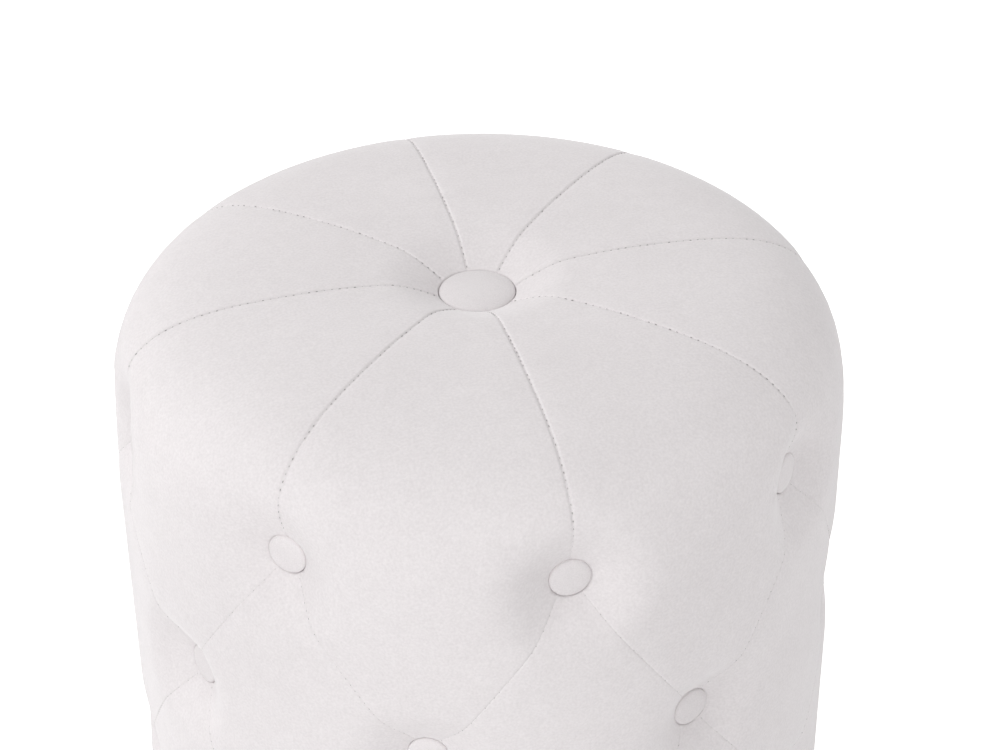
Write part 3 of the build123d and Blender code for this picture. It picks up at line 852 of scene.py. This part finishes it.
def new_finish(name, roughness, **values):
    """A material, its nodes and its shader."""
    finish = bpy.data.materials.new(name)
    finish.use_nodes = True
    shader = finish.node_tree.nodes["Principled BSDF"]
    set_inputs(shader, Roughness=roughness, **values)
    return finish, finish.node_tree, shader


def noise_node(tree, scale, detail=2.0, stretch=None, rough=0.5):
    """Noise with a number of patches in a metre; a stretch under 1 makes them longer."""
    place = add_node(tree, "TexCoord").outputs["Object"]
    if stretch:
        mapping = add_node(tree, "Mapping", Scale=stretch)
        tree.links.new(place, mapping.inputs["Vector"])
        place = mapping.outputs["Vector"]
    noise = add_node(tree, "TexNoise", Scale=scale, Detail=detail, Roughness=rough)
    tree.links.new(place, noise.inputs["Vector"])
    return noise.outputs["Fac"]


def cell_node(tree, scale, randomness=1.0):
    """Distance to the nearest cell of a pattern with a number of cells in a metre."""
    cells = add_node(tree, "TexVoronoi", Scale=scale, Randomness=randomness)
    tree.links.new(add_node(tree, "TexCoord").outputs["Object"], cells.inputs["Vector"])
    return cells.outputs["Distance"]


print("noise and cells to mix finishes from")


# %% Mix, colour and bump
def blend_values(tree, first, second, share):
    """Two values mixed by a fixed share."""
    mix = add_node(tree, "Mix", Factor=share)
    tree.links.new(first, mix.inputs["A"])
    tree.links.new(second, mix.inputs["B"])
    return mix.outputs["Result"]


def ramp_colours(tree, value, shader, low, deep, high, pale):
    """The shader's colour, from deep at a low value to pale at a high one."""
    ramp = add_node(tree, "ValToRGB")
    for element, position, colour in zip(ramp.color_ramp.elements, (low, high), (deep, pale)):
        element.position, element.color = position, (*colour, 1)
    tree.links.new(value, ramp.inputs["Fac"])
    tree.links.new(ramp.outputs["Color"], shader.inputs["Base Color"])


def bump_from(tree, value, shader, distance, strength):
    """A bump of the surface that follows a value."""
    bump = add_node(tree, "Bump", Strength=strength, Distance=distance)
    tree.links.new(value, bump.inputs["Height"])
    tree.links.new(bump.outputs["Normal"], shader.inputs["Normal"])


print("colour and bump follow the noise")

# %% [markdown]
# ### Velvet
#
# Short velvet is matt with a soft light along its edges, which is what sheen is for. Its pile lies
# a little this way and that, so its brightness drifts in cloudy patches over a fine, sandy grain.
# The patches are kept faint: the photo shows an almost even off-white.

# %% Mix the velvet
DEEP_PILE, PALE_PILE = (0.70, 0.665, 0.671), (0.83, 0.795, 0.802)
# The thread's dark grey is painted shade: it stands in for the shade of the needle holes.
DEEP_THREAD_HOLE_SHADE, PALE_THREAD_HOLE_SHADE = (0.26, 0.25, 0.245), (0.42, 0.40, 0.395)


def velvet_finish(name, patch, grain):
    """Velvet with a number of cloudy patches and of grains in a metre."""
    finish, tree, shader = new_finish(name, 0.92, Sheen_Weight=0.45, Sheen_Roughness=0.35,
                                      Specular_IOR_Level=0.15)
    clouds = blend_values(tree, noise_node(tree, patch), noise_node(tree, patch * 9, 3.0), 0.45)
    nap = blend_values(tree, clouds, noise_node(tree, grain, 2.0), 0.6)
    ramp_colours(tree, nap, shader, 0.25, DEEP_PILE, 0.75, PALE_PILE)
    bump_from(tree, noise_node(tree, grain * 0.8, 3.0), shader, 0.00025, 0.5)
    return finish


velvet = velvet_finish("off_white_velvet", 13.0, 800.0)
button_velvet = velvet_finish("button_velvet", 40.0, 1500.0)
# The thread finish is dark grey, painted shade of the needle holes along the seams.
thread, tree, shader = new_finish("thread_painted_hole_shade", 0.7, Sheen_Weight=0.1)
ramp_colours(tree, noise_node(tree, 2200.0), shader, 0.3, DEEP_THREAD_HOLE_SHADE, 0.7, PALE_THREAD_HOLE_SHADE)
bump_from(tree, noise_node(tree, 5200.0, 1.0), shader, 0.0001, 0.6)
print("velvet, button velvet and thread")

# %% [markdown]
# ### The inside and the underside
#
# Foam has open cells, plywood shows its plies on the edge and a broad grain on the face, pine has
# fine streaks along the post, hardboard is pressed fibre. Nonwoven cloth has small embossed spots,
# and the glides are moulded plastic with a fine texture. These are seen only when the pouf is
# opened or turned over, and still each has its own finish.


# %% Wood, board and twine
def grained_finish(name, stretch, scale, deep, pale, roughness):
    """Wood and board: streaks along the direction with the smallest stretch."""
    finish, tree, shader = new_finish(name, roughness, Specular_IOR_Level=0.3)
    broad = noise_node(tree, scale, 4.0, stretch, 0.6)
    streaks = blend_values(tree, broad, noise_node(tree, scale * 6, 2.0, stretch), 0.35)
    ramp_colours(tree, streaks, shader, 0.3, deep, 0.7, pale)
    bump_from(tree, streaks, shader, 0.0003, 0.5)
    return finish


EVEN = (1.0, 1.0, 1.0)
pine = grained_finish("planed_pine", (1.0, 1.0, 0.06), 160.0,
                      (0.52, 0.36, 0.19), (0.72, 0.55, 0.33), 0.6)
beech = grained_finish("raw_beech", (1.0, 1.0, 0.25), 420.0,
                       (0.44, 0.28, 0.14), (0.60, 0.42, 0.24), 0.55)
hardboard = grained_finish("raw_hardboard", EVEN, 700.0,
                           (0.16, 0.09, 0.05), (0.29, 0.18, 0.10), 0.75)
twine_finish = grained_finish("waxed_twine", EVEN, 1800.0,
                              (0.45, 0.40, 0.31), (0.66, 0.60, 0.50), 0.6)
plywood, tree, shader = new_finish("raw_plywood", 0.65, Specular_IOR_Level=0.3)
face_grain = noise_node(tree, 60.0, 4.0, (0.08, 1.0, 1.0), 0.6)
plies = noise_node(tree, 420.0, 0.0, (0.002, 0.002, 1.0))
ply_and_grain = blend_values(tree, face_grain, plies, 0.5)
ramp_colours(tree, ply_and_grain, shader, 0.3, (0.40, 0.26, 0.13), 0.7, (0.66, 0.49, 0.29))
bump_from(tree, ply_and_grain, shader, 0.0003, 0.4)
print("pine, beech, hardboard, twine and plywood")

# %% Foam, nonwoven, plastic and steel
foam_finish, tree, shader = new_finish("open_cell_foam", 0.95, Specular_IOR_Level=0.1)
cells = cell_node(tree, 900.0)
foam_tone = blend_values(tree, cells, noise_node(tree, 30.0), 0.5)
ramp_colours(tree, foam_tone, shader, 0.2, (0.66, 0.60, 0.42), 0.7, (0.80, 0.75, 0.58))
bump_from(tree, cells, shader, 0.0006, 0.8)

nonwoven, tree, shader = new_finish("black_nonwoven", 0.85, Specular_IOR_Level=0.25,
                                    Sheen_Weight=0.15)
spots = cell_node(tree, 380.0, 0.25)
fibres = blend_values(tree, spots, noise_node(tree, 900.0, 4.0, None, 0.7), 0.5)
ramp_colours(tree, fibres, shader, 0.25, (0.010, 0.010, 0.011), 0.75, (0.040, 0.040, 0.043))
bump_from(tree, fibres, shader, 0.0003, 0.7)

plastic, tree, shader = new_finish("moulded_plastic", 0.42)
plastic_tone = noise_node(tree, 600.0, 3.0)
ramp_colours(tree, plastic_tone, shader, 0.3, (0.012, 0.012, 0.013), 0.7, (0.026, 0.026, 0.028))
bump_from(tree, noise_node(tree, 2600.0, 2.0), shader, 0.00012, 0.4)

steel, tree, shader = new_finish("bright_wire", 0.32, Metallic=1.0)
steel_tone = noise_node(tree, 500.0, 3.0)
ramp_colours(tree, steel_tone, shader, 0.3, (0.42, 0.42, 0.43), 0.7, (0.62, 0.62, 0.63))
bump_from(tree, noise_node(tree, 1600.0, 2.0), shader, 0.0001, 0.3)
print(len(bpy.data.materials), "materials in the file")

# %% [markdown]
# ## Put every piece on the pouf
#
# Nothing on a pouf moves against the rest, so every piece rides on the one body, the root. The
# new pieces hide the solids they stand for. Of the soft ones, the velvet and the dust cloth are
# sheets and the foam is padding.

# %% Ride, replace and finish
ROOT = "root"
made = [
    (cover, velvet, "velvet", ["velvet_cover"]),
    (stitches, thread, "velvet", []),
    (foam_wrap, foam_finish, "foam", ["side_foam"]),
    (foam_pad, foam_finish, "foam", ["top_foam"]),
    (seat_button, button_velvet, "button_velvet", ["top_button"]),
    (dust_cloth, nonwoven, "dust_cloth", ["dust_cover"]),
    (staples, steel, "nail_steel", []),
    (glides, plastic, "glide_plastic", ["glides"]),
]
made += [(piece, button_velvet, "button_velvet", [name])
         for piece, name in zip(button_pieces, row_names)]
for piece, finish, slot_name, stands_for in made:
    piece.data.materials.append(finish)
    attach(piece, ROOT)
    if stands_for:
        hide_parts(*stands_for)
print(len(made), "new pieces")

# %% Finish the solids that stay
node_finishes = {"base_disc": plywood, "top_disc": plywood, "wall_sheet": hardboard,
                 "frame_nails": steel, "glide_nails": steel, "button_twines": twine_finish,
                 "twine_toggles": beech}
node_finishes.update({name: pine for name in nodes if name.startswith("frame_post_")})
for name, finish in node_finishes.items():
    for material_slot in nodes[name].material_slots:
        material_slot.material = finish
print(len(node_finishes), "solids with a new finish")

# %% [markdown]
# ## Floor, light and camera
#
# The photo is a studio picture on white, with a broad soft light from the left and light from all
# round. The world gives the even part, brighter from above. Two large lamps stand on the left, in
# front and behind, and two weaker ones stand low, one in front and one on the right, so that the
# shaded wall keeps its form. What the camera sees behind the pouf is plain white, set for the
# camera's own rays, so the light on the velvet stays at a plain level. The camera looks down by
# over a third of a right angle and cuts the lower part of the pouf off, as in the photo.

# %% Floor
FLOOR_SIZE, FLOOR_DROP = 8.0, 0.0003
FLOOR_PAINT, FLOOR_GLOW = (0.90, 0.90, 0.90, 1), 0.55
WHITE = (1, 1, 1, 1)
corners = [(x * FLOOR_SIZE / 2, y * FLOOR_SIZE / 2, -FLOOR_DROP)
           for x, y in ((-1, -1), (1, -1), (1, 1), (-1, 1))]
floor = build_piece("studio_floor", corners, [(0, 1, 2, 3)])
floor_finish = bpy.data.materials.new("white_floor")
floor_finish.use_nodes = True
tree = floor_finish.node_tree
tree.nodes.remove(tree.nodes["Principled BSDF"])
paint = add_node(tree, "BsdfDiffuse", Color=FLOOR_PAINT)
glow = add_node(tree, "Emission", Color=WHITE)
seen = add_node(tree, "LightPath")
strength = add_node(tree, "Math")
strength.operation = "MULTIPLY"
strength.inputs[1].default_value = FLOOR_GLOW
tree.links.new(seen.outputs["Is Camera Ray"], strength.inputs[0])
tree.links.new(strength.outputs["Value"], glow.inputs["Strength"])
both = add_node(tree, "AddShader")
tree.links.new(paint.outputs["BSDF"], both.inputs[0])
tree.links.new(glow.outputs["Emission"], both.inputs[1])
tree.links.new(both.outputs["Shader"], tree.nodes["Material Output"].inputs["Surface"])
floor.data.materials.append(floor_finish)
print("floor", FLOOR_SIZE, "m wide")

# %% World
ZENITH_LIGHT, HORIZON_LIGHT = 0.785, 0.255
world = bpy.data.worlds.new("white_studio")
bpy.context.scene.world = world
world.use_nodes = True
tree = world.node_tree
light = set_inputs(tree.nodes["Background"], Color=WHITE)
direction = add_node(tree, "SeparateXYZ")
tree.links.new(add_node(tree, "TexCoord").outputs["Generated"], direction.inputs["Vector"])
fall = add_node(tree, "MapRange", To_Min=HORIZON_LIGHT, To_Max=ZENITH_LIGHT)
tree.links.new(direction.outputs["Z"], fall.inputs["Value"])
tree.links.new(fall.outputs["Result"], light.inputs["Strength"])
white = add_node(tree, "Background", Color=WHITE, Strength=1.0)
seen = add_node(tree, "LightPath")
either = add_node(tree, "Math")
either.operation = "MAXIMUM"
tree.links.new(seen.outputs["Is Camera Ray"], either.inputs[0])
tree.links.new(seen.outputs["Is Glossy Ray"], either.inputs[1])
choose = add_node(tree, "MixShader")
tree.links.new(either.outputs["Value"], choose.inputs["Fac"])
tree.links.new(light.outputs["Background"], choose.inputs[1])
tree.links.new(white.outputs["Background"], choose.inputs[2])
tree.links.new(choose.outputs["Shader"], tree.nodes["World Output"].inputs["Surface"])
print("a white studio")

# %% Lamps
CAMERA_TURN = math.radians(-14.28)
LAMP_SIZE, LAMP_DISTANCE, LAMP_TARGET = 2.7, 5.0, Vector((0, 0, 0.3))
LAMPS = {"left_front_lamp": (50, 35, 94), "left_back_lamp": (130, 20, 83),
         "low_front_lamp": (-20, 5, 61), "low_right_lamp": (-118, 5, 56)}
right = Vector((math.cos(CAMERA_TURN), math.sin(CAMERA_TURN), 0))
level_ahead = Vector((-math.sin(CAMERA_TURN), math.cos(CAMERA_TURN), 0))


def soft_lamp(name, leftward, rise, power):
    """A large square lamp, by its degrees to the left of the camera, degrees up and watts."""
    lamp = bpy.data.lights.new(name, "AREA")
    lamp.shape, lamp.size, lamp.energy = "SQUARE", LAMP_SIZE, power
    turn, lift = math.radians(leftward), math.radians(rise)
    level_way = -right * math.sin(turn) - level_ahead * math.cos(turn)
    towards = level_way * math.cos(lift) + Vector((0, 0, math.sin(lift)))
    holder = bpy.data.objects.new(name, lamp)
    holder.location = LAMP_TARGET + towards * LAMP_DISTANCE
    holder.rotation_euler = (-towards).to_track_quat("-Z", "Y").to_euler()
    holder.visible_camera = False
    bpy.context.scene.collection.objects.link(holder)


for name, place_and_power in LAMPS.items():
    soft_lamp(name, *place_and_power)
print(len(LAMPS), "lamps")

# %% Camera
CAMERA_PITCH, CAMERA_ROLL = math.radians(34.262), math.radians(-0.431)
CAMERA_TARGET, CAMERA_DISTANCE = Vector((0, 0, 0.4505)), 1.24285
SHIFT_RIGHT, SHIFT_DOWN = 0.01102, 0.04202
ahead = level_ahead * math.cos(CAMERA_PITCH) - Vector((0, 0, math.sin(CAMERA_PITCH)))
upward = right.cross(ahead)
camera = bpy.data.objects.new("photo_camera", bpy.data.cameras.new("photo_camera"))
camera.data.sensor_width, camera.data.lens = 36.0, 90.02
camera.data.clip_start, camera.data.clip_end = 0.05, 50.0
rolled_right = right * math.cos(CAMERA_ROLL) + upward * math.sin(CAMERA_ROLL)
rolled_up = upward * math.cos(CAMERA_ROLL) - right * math.sin(CAMERA_ROLL)
facing = Matrix((rolled_right, rolled_up, -ahead)).transposed()
aim = CAMERA_TARGET + right * SHIFT_RIGHT - upward * SHIFT_DOWN
camera.location = aim - ahead * CAMERA_DISTANCE
camera.rotation_euler = facing.to_euler()
bpy.context.scene.collection.objects.link(camera)
bpy.context.scene.camera = camera
bpy.context.scene.view_settings.view_transform = "Standard"
print("camera at", [round(value, 3) for value in camera.location])
